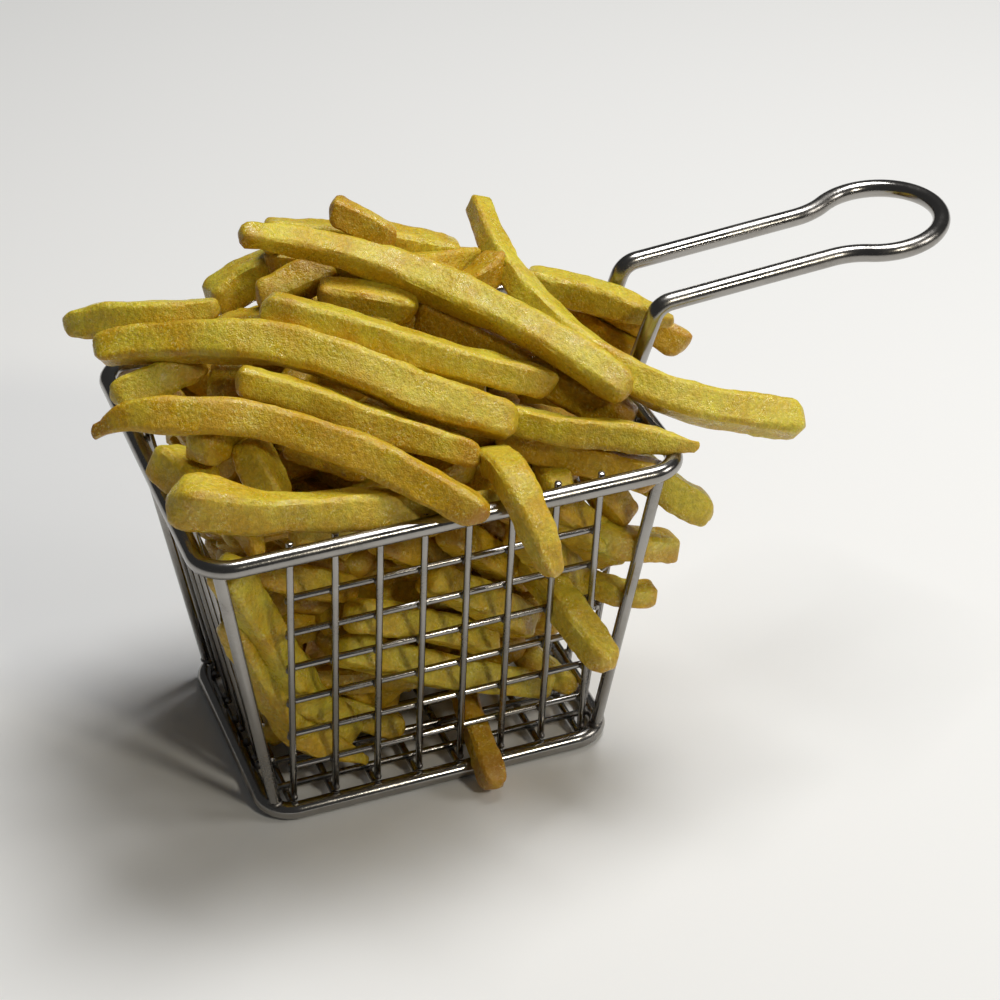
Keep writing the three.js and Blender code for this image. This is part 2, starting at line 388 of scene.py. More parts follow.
def cornerPost(name, signX, signY, node):
    b = basket
    lowX, lowY = b["baseLength"] / 2 - b["postBase"], b["baseDepth"] / 2 - b["postBase"]
    highX, highY = b["topLength"] / 2 - b["postTop"], b["topDepth"] / 2 - b["postTop"]
    low = Vector((signX * lowX, signY * lowY, 0))
    high = Vector((signX * highX, signY * highY, b["rimHeight"]))
    up = (high - low) / b["rimHeight"]
    low, high = low + up * 1.6, high - up * 1.6
    wire = cutWire((high - low).length, b["postWire"], 20)
    wire.data.transform(alongLine(place(*low), place(*high)))
    spots = []
    for point, rise in ((low, 0.5), (high, -0.5)):
        spot = weldSpot(b["postWire"] * 0.62, 1)
        there = Matrix.Translation(place(*(point + up * rise)))
        spot.data.transform(there @ Matrix.Diagonal((1, 1, 0.5, 1)))
        spots.append(spot)
    return dressMetal([wire], spots, name, node)


# Half the handle from above: the straight run, a flare that opens out, and the round end.
def handleOutline():
    h = handleSizes
    run = h["loopX"] - h["flareX"]
    square = h["loopRadius"] ** 2 - run ** 2 - h["halfGap"] ** 2
    flare = square / (2 * (h["halfGap"] - h["loopRadius"]))
    flareY = h["halfGap"] + flare
    meet = math.atan2(flareY, -run)
    opening = arcPoints(h["flareX"], flareY, flare, -math.pi / 2, meet - math.pi, 12)
    return opening + arcPoints(h["loopX"], 0, h["loopRadius"], meet, 0, 30)[1:]


def handleWire():
    h = handleSizes
    footZ = basket["rimHeight"] + basket["frameWire"] * 0.3
    bendZ = basket["rimHeight"] + h["bendRise"]
    lean = math.atan2(h["bendX"] - h["footX"], bendZ - basket["rimHeight"] - 2.2)
    rise = math.atan(h["slope"])
    setback = h["bendRadius"] * math.tan((math.pi / 2 - lean - rise) / 2)
    bendX = h["bendX"] + setback * math.cos(rise) + h["bendRadius"] * math.sin(rise)
    centreZ = bendZ + setback * math.sin(rise) - h["bendRadius"] * math.cos(rise)
    bend = arcPoints(bendX, centreZ, h["bendRadius"], math.pi - lean, math.pi / 2 + rise, 12)
    half = [(h["footX"] - 0.3, h["halfGap"], footZ)]
    half += [(x, h["halfGap"], z) for x, z in bend]
    half += [(x, y, bendZ + h["slope"] * (x - h["bendX"])) for x, y in handleOutline()]
    whole = half + [(x, -y, z) for x, y, z in reversed(half[:-1])]
    wire = bentWire([place(*point) for point in whole], basket["frameWire"], roundness=7)
    spots = []
    for side in (1, -1):
        spot = weldSpot(basket["frameWire"] * 0.6, 1)
        foot = place(h["footX"] - 0.6, side * h["halfGap"], footZ + 0.5)
        spot.data.transform(Matrix.Translation(foot) @ Matrix.Diagonal((1, 1.15, 0.45, 1)))
        spots.append(spot)
    return dressMetal([wire], spots, "handleWire", "handle")


rimWire("topRim", basket["topLength"], basket["topDepth"], basket["topCorner"],
        basket["rimHeight"], "top_rim")
rimWire("baseRim", basket["baseLength"], basket["baseDepth"], basket["baseCorner"], 0, "bottom_rim")
floorMesh()
longHalf = (basket["baseDepth"] / 2, basket["topDepth"] / 2)
shortHalf = (basket["baseLength"] / 2, basket["topLength"] / 2)
sideMesh("frontWires", longWires, 0, *longHalf, "front_mesh", 0.6)
sideMesh("backWires", longWires, math.pi, *longHalf, "back_mesh")
sideMesh("rightWires", shortWires, math.pi / 2, *shortHalf, "right_mesh")
sideMesh("leftWires", shortWires, -math.pi / 2, *shortHalf, "left_mesh")
cornerPost("postFrontLeft", -1, -1, "post_front_left")
cornerPost("postFrontRight", 1, -1, "post_front_right")
cornerPost("postBackLeft", -1, 1, "post_back_left")
cornerPost("postBackRight", 1, 1, "post_back_right")
handleWire()
print("basket ready")

# Colours and gloss of the fried potato.
fryLook = {
    "pale": (0.62, 0.505, 0.034),
    "golden": (0.56, 0.335, 0.003),
    "brown": (0.41, 0.19, 0.004),
    "dark": (0.13, 0.045, 0.006),
    # grain is the pale colour of painted glints, laid on the oily specks
    "grain": (0.92, 0.82, 0.28),
    "roughness": 0.34, "gloss": 0.55, "oilCoat": 0.12, "oilRoughness": 0.2,
    "inside": 0.42, "insideDepth": 0.002, "insideTint": (1.0, 0.55, 0.1),
    "bump": 0.95, "bumpDepth": 0.00036, "blisters": 0.7,
}


# Mottled skin of fried potato: soft patches, a fine starchy grain, small blisters, films of oil, and oily
# specks that also carry painted glints.
def fryGrain():
    group, entry, out = groupSockets(
        "fryGrain",
        [("Vector", "NodeSocketVector", (0, 0, 0)), ("Blisters", "NodeSocketFloat", 1.0)],
        [("Patches", "NodeSocketFloat"), ("Grain", "NodeSocketFloat"), ("SpecksAndPaintedGlints", "NodeSocketFloat"),
         ("Height", "NodeSocketFloat"), ("Oil", "NodeSocketFloat")])
    vector = entry.outputs["Vector"]
    patches = addRange(group, addNoise(group, vector, 170, 3, 0.5), 0.36, 0.64)
    grain = addNoise(group, vector, 1050, 4, 0.6)
    soft = addNoise(group, vector, 380, 2, 0.5)
    blister = addMath(group, "MULTIPLY", addRange(group, soft, 0.5, 0.72), entry.outputs["Blisters"])
    oil = addRange(group, addNoise(group, vector, 260, 3, 0.6), 0.48, 0.62)
    fleck = addRange(group, addNoise(group, vector, 1700, 2, 0.6), 0.56, 0.63)
    oily = addMath(group, "ADD", addMath(group, "MULTIPLY", oil, 0.7), 0.3)
    specksAndGlints = addMath(group, "MULTIPLY", fleck, oily)
    dust = addNoise(group, vector, 3200, 1, 0.5)
    height = addMath(group, "ADD", grain, addMath(group, "MULTIPLY", blister, 0.35))
    height = addMath(group, "ADD", height, addMath(group, "MULTIPLY", dust, 0.4))
    results = {"Patches": patches, "Grain": grain, "SpecksAndPaintedGlints": specksAndGlints, "Height": height, "Oil": oil}
    for label, value in results.items():
        group.links.new(value, out.inputs[label])
    return group


def friedPotato(name, look, grainGroup):
    material = bpy.data.materials.new(name)
    material.use_nodes = True
    tree = material.node_tree
    shader = tree.nodes["Principled BSDF"]
    where = tree.nodes.new("ShaderNodeTexCoord").outputs["Object"]
    skin = tree.nodes.new("ShaderNodeGroup")
    skin.node_tree = grainGroup
    skin.inputs["Blisters"].default_value = look["blisters"]
    tree.links.new(where, skin.inputs["Vector"])
    tone = addNode(tree, "ShaderNodeAttribute", attribute_name="fryTone")
    parts = tree.nodes.new("ShaderNodeSeparateColor")
    tree.links.new(tone.outputs["Color"], parts.inputs["Color"])
    browned, hue, spots = parts.outputs
    # The hue channel holds each fry's own tone plus painted shade: sides facing downward are made more
    # golden.
    own = addRange(tree, hue, 0, 1, -0.3, 0.95)
    mottleAndShade = addMath(tree, "ADD", addMath(tree, "MULTIPLY", skin.outputs["Patches"], 0.65), own)
    colour = addMix(tree, addRange(tree, mottleAndShade, 0, 1), look["pale"], look["golden"])
    grainy = addRange(tree, skin.outputs["Grain"], 0.36, 0.64, 0.86, 1.16)
    tint = tree.nodes.new("ShaderNodeCombineColor")
    for socket in tint.inputs:
        tree.links.new(grainy, socket)
    colour = addMix(tree, 1.0, colour, tint.outputs["Color"], "MULTIPLY")
    uneven = addRange(tree, skin.outputs["Patches"], 0, 1, 0.6, 1.3)
    brownMask = addMath(tree, "MULTIPLY", browned, uneven)
    colour = addMix(tree, addRange(tree, brownMask, 0.06, 0.85), colour, look["brown"])
    colour = addMix(tree, addRange(tree, spots, 0.55, 1.0), colour, look["dark"])
    # Painted highlight: pale specks mixed into the colour as glints on the oily faces.
    colour = addMix(tree, addMath(tree, "MULTIPLY", skin.outputs["SpecksAndPaintedGlints"], 0.5), colour, look["grain"])
    tree.links.new(colour, shader.inputs["Base Color"])
    rough = addRange(tree, skin.outputs["Oil"], 0, 1, look["roughness"] + 0.1, look["roughness"] - 0.13)
    rough = addMath(tree, "SUBTRACT", rough, addMath(tree, "MULTIPLY", skin.outputs["SpecksAndPaintedGlints"], 0.13))
    tree.links.new(rough, shader.inputs["Roughness"])
    coat = addRange(tree, skin.outputs["Oil"], 0, 1, 0.0, look["oilCoat"])
    tree.links.new(coat, shader.inputs["Coat Weight"])
    shader.inputs["Coat Roughness"].default_value = look["oilRoughness"]
    shader.inputs["Specular IOR Level"].default_value = look["gloss"]
    shader.inputs["Subsurface Weight"].default_value = look["inside"]
    shader.inputs["Subsurface Radius"].default_value = look["insideTint"]
    shader.inputs["Subsurface Scale"].default_value = look["insideDepth"]
    bump = addNode(tree, "ShaderNodeBump", Strength=look["bump"], Distance=look["bumpDepth"])
    tree.links.new(skin.outputs["Height"], bump.inputs["Height"])
    tree.links.new(bump.outputs["Normal"], shader.inputs["Normal"])
    return material


potato = friedPotato("friedPotato", fryLook, fryGrain())


# A straight stick of unit length and width with softened corners, cut across into many short lengths.
def plainStick(lengths, widths):
    clearSelection()
    bpy.ops.mesh.primitive_cube_add(size=1, location=(0.5, 0, 0))
    stick = settle(bpy.context.object)

    def chooseEdges(test):
        bpy.ops.object.mode_set(mode="EDIT")
        bpy.ops.mesh.select_all(action="DESELECT")
        bpy.ops.mesh.select_mode(type="EDGE")
        bpy.ops.object.mode_set(mode="OBJECT")
        points = stick.data.vertices
        for edge in stick.data.edges:
            edge.select = test(points[edge.vertices[0]].co, points[edge.vertices[1]].co)
        bpy.ops.object.mode_set(mode="EDIT")

    chooseEdges(lambda a, b: abs(a.x - b.x) > 0.5)
    bpy.ops.mesh.subdivide(number_cuts=lengths - 1)
    chooseEdges(lambda a, b: abs(a.x - b.x) < 1e-5)
    bpy.ops.mesh.subdivide(number_cuts=widths - 1)
    chooseEdges(lambda a, b: min(abs(a.y), abs(a.z), abs(b.y), abs(b.z)) > 0.499 and abs(a.x - b.x) > 1e-5)
    bpy.ops.mesh.bevel(offset=0.1, segments=2, affect="EDGES")
    bpy.ops.object.mode_set(mode="OBJECT")
    points = np.array([v.co for v in stick.data.vertices])
    faces = [tuple(p.vertices) for p in stick.data.polygons]
    drop(stick)
    return points, faces


def smoothPath(stops, samples=60):
    knots = [Vector(s[:3]) for s in stops]
    knots = [2 * knots[0] - knots[1]] + knots + [2 * knots[-1] - knots[-2]]
    line = []
    for p0, p1, p2, p3 in zip(knots, knots[1:], knots[2:], knots[3:]):
        for i in range(samples):
            t = i / samples
            line.append(0.5 * ((2 * p1) + (p2 - p0) * t + (2 * p0 - 5 * p1 + 4 * p2 - p3) * t ** 2
                               + (3 * p1 - p0 - 3 * p2 + p3) * t ** 3))
    line.append(knots[-2])
    points = np.array([tuple(p) for p in line])
    steps = np.r_[0, np.cumsum(np.linalg.norm(np.diff(points, axis=0), axis=1))]
    return points, steps


# How much of its full section a fry keeps near an end: blunt, slanted, rounded or drawn to a point.
def endScale(distance, width, kind):
    reach = {"blunt": 0.36, "slant": 0.6, "point": 2.1, "knob": 0.6}[kind]
    least = {"blunt": 0.66, "slant": 0.52, "point": 0.18, "knob": 0.5}[kind]
    share = np.clip(distance / (reach * width), 0, 1)
    if kind == "point":
        curve = np.sin(share * math.pi / 2) ** 0.8
    else:
        curve = np.sqrt(1 - (1 - share) ** 2)
    return least + (1 - least) * curve


def alongPath(line, steps, at):
    return np.stack([np.interp(at, steps, line[:, k]) for k in range(3)], axis=1)


fryShape = {"squareness": 5.5, "cupped": 0.07, "wave": 0.05, "dome": 0.1, "bulge": 0.5, "edgeBrown": 0.24}


# Runs the plain stick through its stops and gives it the section, ends, dents and colours of one fry, with
# painted shade on its undersides.
def shapeFry(stick, stops, width, depth, roll, ends, browns, hue, seed):
    unit, _ = stick
    line, steps = smoothPath(stops)
    length = steps[-1]
    rng = np.random.RandomState(seed)
    t = 0.65 * unit[:, 0] + 0.175 * (1 - np.cos(math.pi * unit[:, 0]))
    a, b = unit[:, 1].copy(), unit[:, 2].copy()
    middle = np.maximum(abs(a), abs(b)) * 2
    power = fryShape["squareness"]
    rounding = middle / (((2 * abs(a)) ** power + (2 * abs(b)) ** power) ** (1 / power) + 1e-9)
    s = t * length
    scales = [stop[3] if len(stop) > 3 else 1 for stop in stops]
    thickness = np.interp(s, steps[::60][:len(stops)], scales)
    width, depth = width * thickness, depth * thickness
    scaleA = np.minimum(endScale(s, width, ends[0]), endScale(length - s, width, ends[1]))
    scaleB = np.maximum(scaleA, 0.42)
    cupped = 1 - fryShape["cupped"] * (1 - np.minimum(1, (2 * np.minimum(abs(a), abs(b))) ** 2))
    wave = fryShape["wave"]
    waveA = 1 + wave * np.sin(s * rng.uniform(0.10, 0.2) + rng.uniform(0, 6)) + rng.uniform(-0.04, 0.04)
    waveB = 1 + wave * np.sin(s * rng.uniform(0.10, 0.2) + rng.uniform(0, 6)) + rng.uniform(-0.04, 0.04)
    across = a * rounding * width * scaleA * cupped * waveA
    above = b * rounding * depth * scaleB * cupped * waveB
    slantA, slantB = rng.uniform(-0.35, 0.35, 2)
    nearStart = np.clip(1 - s / width, 0, 1)
    nearEnd = np.clip(1 - (length - s) / width, 0, 1)
    skew = np.where(t < 0.5, nearStart * slantA, nearEnd * slantB)
    dome = fryShape["dome"] * width * (1 - middle ** 2) * np.sign(t - 0.5)
    along = np.clip(s + skew * above + dome, -3.0, length + 3.0)
    centre = alongPath(line, steps, along)
    before = alongPath(line, steps, np.clip(along - 1, 0, length - 2))
    after = alongPath(line, steps, np.clip(along + 1, 2, length))
    ahead = after - before
    ahead /= np.linalg.norm(ahead, axis=1, keepdims=True)
    centre += ahead * (along - np.clip(along, 0, length))[:, None]
    up = np.array([0.0, 0.0, 1.0]) - ahead * ahead[:, 2:3]
    lean = np.array([0.0, -1.0, 0.0]) - ahead * (-ahead[:, 1:2])
    steep = np.clip((abs(ahead[:, 2:3]) - 0.8) / 0.15, 0, 1)
    up = up * (1 - steep) + lean * steep
    up /= np.linalg.norm(up, axis=1, keepdims=True)
    side = np.cross(ahead, up)
    turn = np.radians(roll[0] + (roll[1] - roll[0]) * t) + rng.uniform(-0.2, 0.2) * (t - 0.5)
    turned = across * np.cos(turn) - above * np.sin(turn)
    above = across * np.sin(turn) + above * np.cos(turn)
    across = turned
    points = centre + side * across[:, None] + up * above[:, None]
    outward = side * across[:, None] + up * above[:, None]
    outward /= np.linalg.norm(outward, axis=1, keepdims=True) + 1e-9
    shift = Vector(rng.uniform(-50, 50, 3))
    bulge = np.array([noise.noise(Vector(p) * 0.15 + shift) for p in points])
    pucker = np.array([noise.noise(Vector(p) * 0.5 + shift) for p in points])
    corners = np.clip((np.minimum(abs(a), abs(b)) - 0.30) / 0.14, 0, 1)
    points = points + outward * (fryShape["bulge"] * bulge + (0.12 + 0.25 * corners) * pucker)[:, None]
    startBrown = browns[0] * np.clip(1 - s / (1.3 * width), 0, 1)
    endBrown = browns[1] * np.clip(1 - (length - s) / (1.3 * width), 0, 1)
    tipBrown = np.maximum(startBrown, endBrown)
    patchy = np.array([noise.noise(Vector(p) * 0.11 - shift) for p in points])
    edgeBrown = corners * np.clip(0.03 + 0.6 * patchy, 0, fryShape["edgeBrown"])
    browned = browns[2] + tipBrown * (0.8 + 0.9 * bulge) + edgeBrown + 0.25 * np.clip(patchy - 0.25, 0, 1)
    browned = np.clip(browned, 0, 1)
    speck = np.array([noise.noise(Vector(p) * 0.8 + shift * 2) for p in points])
    spots = np.clip((speck - 0.62) * 3, 0, 1)
    under = np.clip(0.45 - outward[:, 2], 0, 1.2)  # painted shade: the downward-facing sides are made more golden
    huesAndShade = np.clip(hue + 0.35 * patchy + 0.42 * under, 0, 1)
    return points, np.stack([browned, huesAndShade, spots, np.ones_like(huesAndShade)], axis=1)


fine = plainStick(56, 5)
coarse = plainStick(26, 3)

# Fries that show one by one: width and height of the cut, roll in degrees, ends, how browned the ends and
# the whole are, how golden, then the places each runs through.
topFries = [
    (7.4, 7.2, (-26, -20), "blunt blunt", (0.45, 0.55, 0), 0.25,
     (-23, 17, 113, 0.6), (-7, 17, 107, 0.8), (12, 10, 99, 1.05), (29, -10, 94), (43, -28, 86, 0.85)),
    (8.2, 7.8, (20, 58), "blunt blunt", (0.05, 0.12, 0), 0.05,
     (33, 33, 101, 0.62), (32, 13, 97, 0.75), (37, -8, 90, 0.95), (48, -23, 84), (61, -30, 79),
     (79, -34, 74, 0.95)),
    (7.6, 7.0, (8, 8), "blunt point", (0.1, 0.3, 0), 0.15, (37, 13, 91), (50, 5, 88.5), (63, -3, 84)),
    (6.8, 6.6, (25, 25), "blunt blunt", (0.1, 0.3, 0.05), 0.6,
     (44, 14, 88), (56, 6, 83), (67, -1, 76)),
    (6.4, 6.4, (20, 20), "blunt blunt", (0.5, 0.3, 0.03), 0.6, (-1, 26, 110), (10, 20, 103)),
    (8.0, 7.2, (14, 14), "blunt blunt", (0.2, 0.3, 0), 0.25, (-14, 34, 102), (5, 31, 99)),
    (9.0, 8.0, (10, 10), "blunt blunt", (0.2, 0.3, 0), 0.3, (4, 28, 101), (24, 22, 95)),
    (8.4, 7.6, (25, 25), "blunt blunt", (0.2, 0.3, 0.06), 0.55, (10, 15, 98), (28, 20, 94)),
    (7.0, 6.8, (10, 10), "blunt knob", (0.2, 0.5, 0.12), 0.9,
     (17, 12, 90), (26, 10, 96), (31, 14, 98)),
    (7.4, 7.0, (24, 16), "blunt blunt", (0.4, 0.35, 0), 0.25,
     (-22, 6, 102), (2, -6, 94), (31, -17, 84, 0.9)),
    (6.2, 6.4, (32, 32), "blunt slant", (0.1, 0.15, 0), 0.12,
     (-14, -3, 95), (0, -7, 88), (18, -12, 82, 0.9)),
    (8.2, 8.2, (50, 42), "blunt blunt", (0.2, 0.2, 0), 0.3,
     (-55, 17, 93, 0.72), (-45, 12, 95, 0.95), (-32, 4, 97, 1.05), (-21, -2, 97), (-11, -10, 95, 1.08),
     (4, -18, 88, 1.08), (20, -24, 81.5, 0.95)),
    (7.8, 7.0, (25, 25), "knob blunt", (0.25, 0.15, 0), 0.15,
     (-58, 31, 91.5, 0.8), (-51, 27, 93.5, 1.05), (-41, 21, 95.5, 0.95), (-29, 17, 97, 0.6)),
    (6.4, 6.6, (26, 26), "blunt slant", (0.1, 0.25, 0), 0.4,
     (-32, -8, 95), (-21, -13, 91), (-7, -20, 85), (11, -29, 79, 0.85)),
    (7.6, 7.6, (38, 30), "point knob", (0.5, 0.75, 0.02), 0.7,
     (-62, -10, 91), (-55, -12, 94), (-42, -17, 94), (-31, -20, 92), (-21, -26, 89), (-11, -32, 85),
     (-3, -39, 81), (5, -47, 77)),
    (7.8, 7.8, (2, 36), "knob slant", (0.12, 0.1, 0), 0.3,
     (-52, -29, 85, 1.25), (-44, -32, 83, 1.15), (-34, -34, 80, 0.95), (-13, -35, 76), (1, -36, 73),
     (12, -36, 72, 0.6)),
    (5.8, 5.8, (24, 24), "blunt point", (0.1, 0.3, 0), 0.25,
     (10, -6, 80), (27, -24, 79), (44, -33, 77.5), (54, -38, 76)),
    (7.2, 6.8, (0, 0), "blunt slant", (0.1, 0.2, 0), 0.35,
     (14.5, -26, 75.5), (13.8, -36, 79.5), (13.6, -43, 79.5), (15, -49.5, 73, 0.95), (17, -54.5, 65, 0.62)),
    (9.4, 8.4, (10, 10), "blunt blunt", (0.25, 0.2, 0), 0.2,
     (-26, 35, 88), (-19, 36, 91), (-8, 33, 95)),
    (8.0, 7.4, (10, 10), "blunt blunt", (0.3, 0.3, 0.04), 0.5,
     (-30, 29, 83), (-21, 26, 86), (-8, 21, 89)),
    (8.0, 7.4, (10, 10), "blunt blunt", (0.3, 0.3, 0.05), 0.5,
     (-13, 34, 96), (-1, 25, 95.5), (12, 14, 91)),
    (8.0, 7.6, (20, 20), "blunt blunt", (0.3, 0.5, 0.05), 0.6,
     (43, 22, 83), (50, 10, 79), (57, -1, 75)),
    (7.0, 7.0, (60, 60), "blunt blunt", (0.3, 0.3, 0.08), 0.55, (-19, 22, 94), (-3, 23, 98)),
    (8.0, 7.4, (10, 10), "blunt blunt", (0.3, 0.3, 0.06), 0.6,
     (-27, 22, 88), (-11, 15, 91), (6, 6, 90)),
    (7.0, 7.0, (10, 10), "blunt blunt", (0.3, 0.3, 0.1), 0.75, (-3, 16, 89), (14, 9, 87)),
    (7.4, 7.0, (0, 0), "blunt slant", (0.3, 0.3, 0.03), 0.4, (-8, 14, 97), (10, 7, 94)),
    (7.4, 7.4, (14, 14), "blunt blunt", (0.3, 0.4, 0.15), 0.8,
     (12, 10, 91), (29, -8, 84), (45, -23, 75)),
    (7.0, 7.0, (14, 14), "blunt blunt", (0.3, 0.4, 0.1), 0.6,
     (15, 17, 84), (36, 1, 80), (51, -8, 72)),
    (7.2, 7.0, (34, 34), "slant blunt", (0.2, 0.3, 0), 0.15,
     (-54, 9, 86), (-44, 9, 88), (-35, 12, 89)),
    (7.8, 7.4, (0, 0), "blunt blunt", (0.3, 0.3, 0.04), 0.5, (-34, 0, 86), (-27, 12, 87)),
    (6.4, 6.2, (15, 15), "blunt blunt", (0.3, 0.3, 0.08), 0.7, (-51, 19, 82), (-41, 17, 82)),
    (8.0, 7.4, (4, 4), "blunt blunt", (0.2, 0.3, 0), 0.35, (-44, -17, 87), (-28, -9, 84)),
    (7.8, 7.4, (20, 50), "slant blunt", (0.15, 0.3, 0), 0.35, (-33, -17, 86), (-31, -26, 77)),
    (8.4, 7.4, (20, 20), "blunt blunt", (0.3, 0.5, 0.1), 0.7, (-25, -15, 83), (-10, -22, 78)),
    (8.4, 8.2, (20, 20), "blunt blunt", (0.1, 0.2, 0.02), 0.35, (-49, -7, 80), (-43, -19, 78)),
    (6.2, 6.0, (20, 20), "blunt point", (0.3, 0.5, 0.05), 0.6, (-37, -22, 73), (-36, -31, 66, 0.8)),
    (7.0, 7.0, (20, 20), "blunt blunt", (0.3, 0.5, 0.05), 0.4, (-29, -30, 70), (-5, -29, 67)),
    (6.8, 6.8, (20, 20), "blunt blunt", (0.3, 0.4, 0.15), 0.75,
     (20, -15, 73), (34, -28, 72), (46, -37, 70)),
    (7.2, 6.6, (10, 10), "knob blunt", (0.1, 0.4, 0), 0.25, (27, -32, 69), (29, -18, 66)),
    (6.6, 6.6, (10, 10), "blunt blunt", (0.1, 0.4, 0.05), 0.5,
     (36, -18, 74), (38, -25, 64), (43, -27, 54)),
]

# Fries that lie against the front, and those that stick out between the wires.
sideFries = [
    (7.8, 7.6, (10, 30), "blunt knob", (0.1, 0.2, 0), 0.2,
     (38, -20, 72), (46, -28, 66), (58.5, -35, 56.5)),
    (6.8, 6.8, (5, 5), "blunt blunt", (0.1, 0.3, 0), 0.35,
     (26, -20, 58), (40, -30, 51.5), (53, -29.5, 46.5)),
    (5.2, 5.2, (5, 5), "blunt blunt", (0.1, 0.1, 0), 0.3,
     (28, -18, 40), (41, -28.5, 37), (48.5, -30, 35.5)),
    (7.2, 7.0, (0, 10), "blunt slant", (0.1, 0.2, 0), 0.25,
     (24, -20, 46), (27, -30, 40), (29.5, -39, 36), (32, -46.5, 33, 0.85)),
    (5.9, 5.7, (10, 10), "blunt knob", (0.4, 0.5, 0.45), 0.9,
     (10, -14, 12), (9.6, -21, 8), (9.2, -28.5, 5.2), (9, -38.5, 1.6)),
    (7.8, 7.6, (30, 38), "blunt blunt", (0.1, 0.2, 0), 0.12,
     (-43, -30, 67), (-35, -26, 45), (-28, -23, 28), (-17, -18, 9)),
    (7.4, 7.4, (38, 30), "blunt point", (0.2, 0.3, 0.02), 0.35,
     (-41, -24, 50), (-34, -23, 29), (-27, -22, 14), (-15, -24, 4.8, 0.7)),
    (6.6, 6.6, (20, 20), "blunt knob", (0.1, 0.2, 0), 0.2, (-24, -11, 16), (-5, -18, 6)),
    (7.2, 7.2, (30, 30), "blunt blunt", (0.3, 0.4, 0.08), 0.7,
     (-37, -22, 60), (-26, -23, 54), (-15, -20, 47)),
    (7.2, 7.2, (30, 30), "blunt blunt", (0.3, 0.4, 0.1), 0.8,
     (-32, -13, 39), (-16, -12, 19), (-5, -10, 7)),
    (7.6, 7.4, (34, 30), "blunt blunt", (0.1, 0.2, 0), 0.15,
     (-20, -26, 38), (-7, -24, 29), (12, -22, 18), (28, -20, 10, 0.85)),
    (7.4, 7.4, (30, 34), "slant blunt", (0.1, 0.2, 0), 0.2,
     (-18, -28, 47), (-2, -25, 38), (15, -22, 27, 0.8)),
    (7.4, 7.4, (34, 30), "blunt blunt", (0.1, 0.2, 0.04), 0.35,
     (-1, -28, 52), (14, -24, 38), (23, -21, 28)),
    (7.4, 7.4, (20, 20), "blunt blunt", (0.3, 0.4, 0.15), 0.8, (-10, -24, 62), (10, -18, 44)),
    (7.4, 7.4, (20, 20), "blunt blunt", (0.3, 0.4, 0.1), 0.7, (4, -27, 62), (23, -17, 38)),
    (8.2, 7.6, (38, 38), "blunt blunt", (0.3, 0.4, 0.03), 0.35, (25, -30, 65), (41, -26, 45)),
    (8.0, 7.6, (30, 30), "blunt blunt", (0.3, 0.4, 0.03), 0.3, (19, -28, 59), (36, -21, 35)),
    (6.4, 6.4, (30, 30), "blunt slant", (0.3, 0.4, 0.03), 0.25, (24, -14, 16), (34, -20, 7, 0.8)),
]

# The rest of the portion, dropped into the basket without order.
pile = {
    "count": 112, "shortest": 34, "longest": 74, "width": 7.3, "beads": 13,
    "seed": 11, "rounds": 150, "sink": 0.13, "behind": 8, "bare": 11,
}


# How high the middle of a loose fry may lie: under those listed one by one, and lower towards the front.
def ceiling(x, y):
    heights = np.interp(y, [-40, -22, -8, 5, 22, 36, 44], [59, 70, 77, 82, 88, 86, 76])
    return heights - 9 * (x / 50) ** 2


def insideLimits(z, clear):
    share = np.clip(z / basket["rimHeight"], 0, 1)
    halfX = (basket["baseLength"] + (basket["topLength"] - basket["baseLength"]) * share) / 2 - clear
    halfY = (basket["baseDepth"] + (basket["topDepth"] - basket["baseDepth"]) * share) / 2 - clear
    return halfX, halfY


def randomFries(rng):
    fries = []
    for i in range(pile["count"]):
        level = (i + 0.5) / pile["count"]
        z = 6 + 82 * level
        halfX, halfY = insideLimits(np.array(z), 12)
        mound = 1.0 if z < 74 else 1.0 - (z - 74) / 26
        x = rng.uniform(-1, 1) * halfX * 0.85 * mound
        y = rng.uniform(-1, 1) * halfY * 0.85 * mound + (4 if z > 70 else 0)
        length = rng.uniform(pile["shortest"], pile["longest"])
        turn = rng.normal(0, 0.75) - 0.35
        tilt = rng.normal(0, 0.28)
        flat = math.cos(tilt)
        half = 0.5 * length * np.array([math.cos(turn) * flat, math.sin(turn) * flat, math.sin(tilt)])
        bow = np.array([0, 0, 1.0]) * rng.uniform(-0.03, 0.07) * length
        middle = np.array([x, y, z])
        fries.append((middle - half, middle + bow, middle + half))
    return fries


# A fry as a row of evenly spaced beads, for letting the pile settle.
def chain(stops):
    line, steps = smoothPath(stops, 12)
    return alongPath(line, steps, np.linspace(0, steps[-1], pile["beads"]))


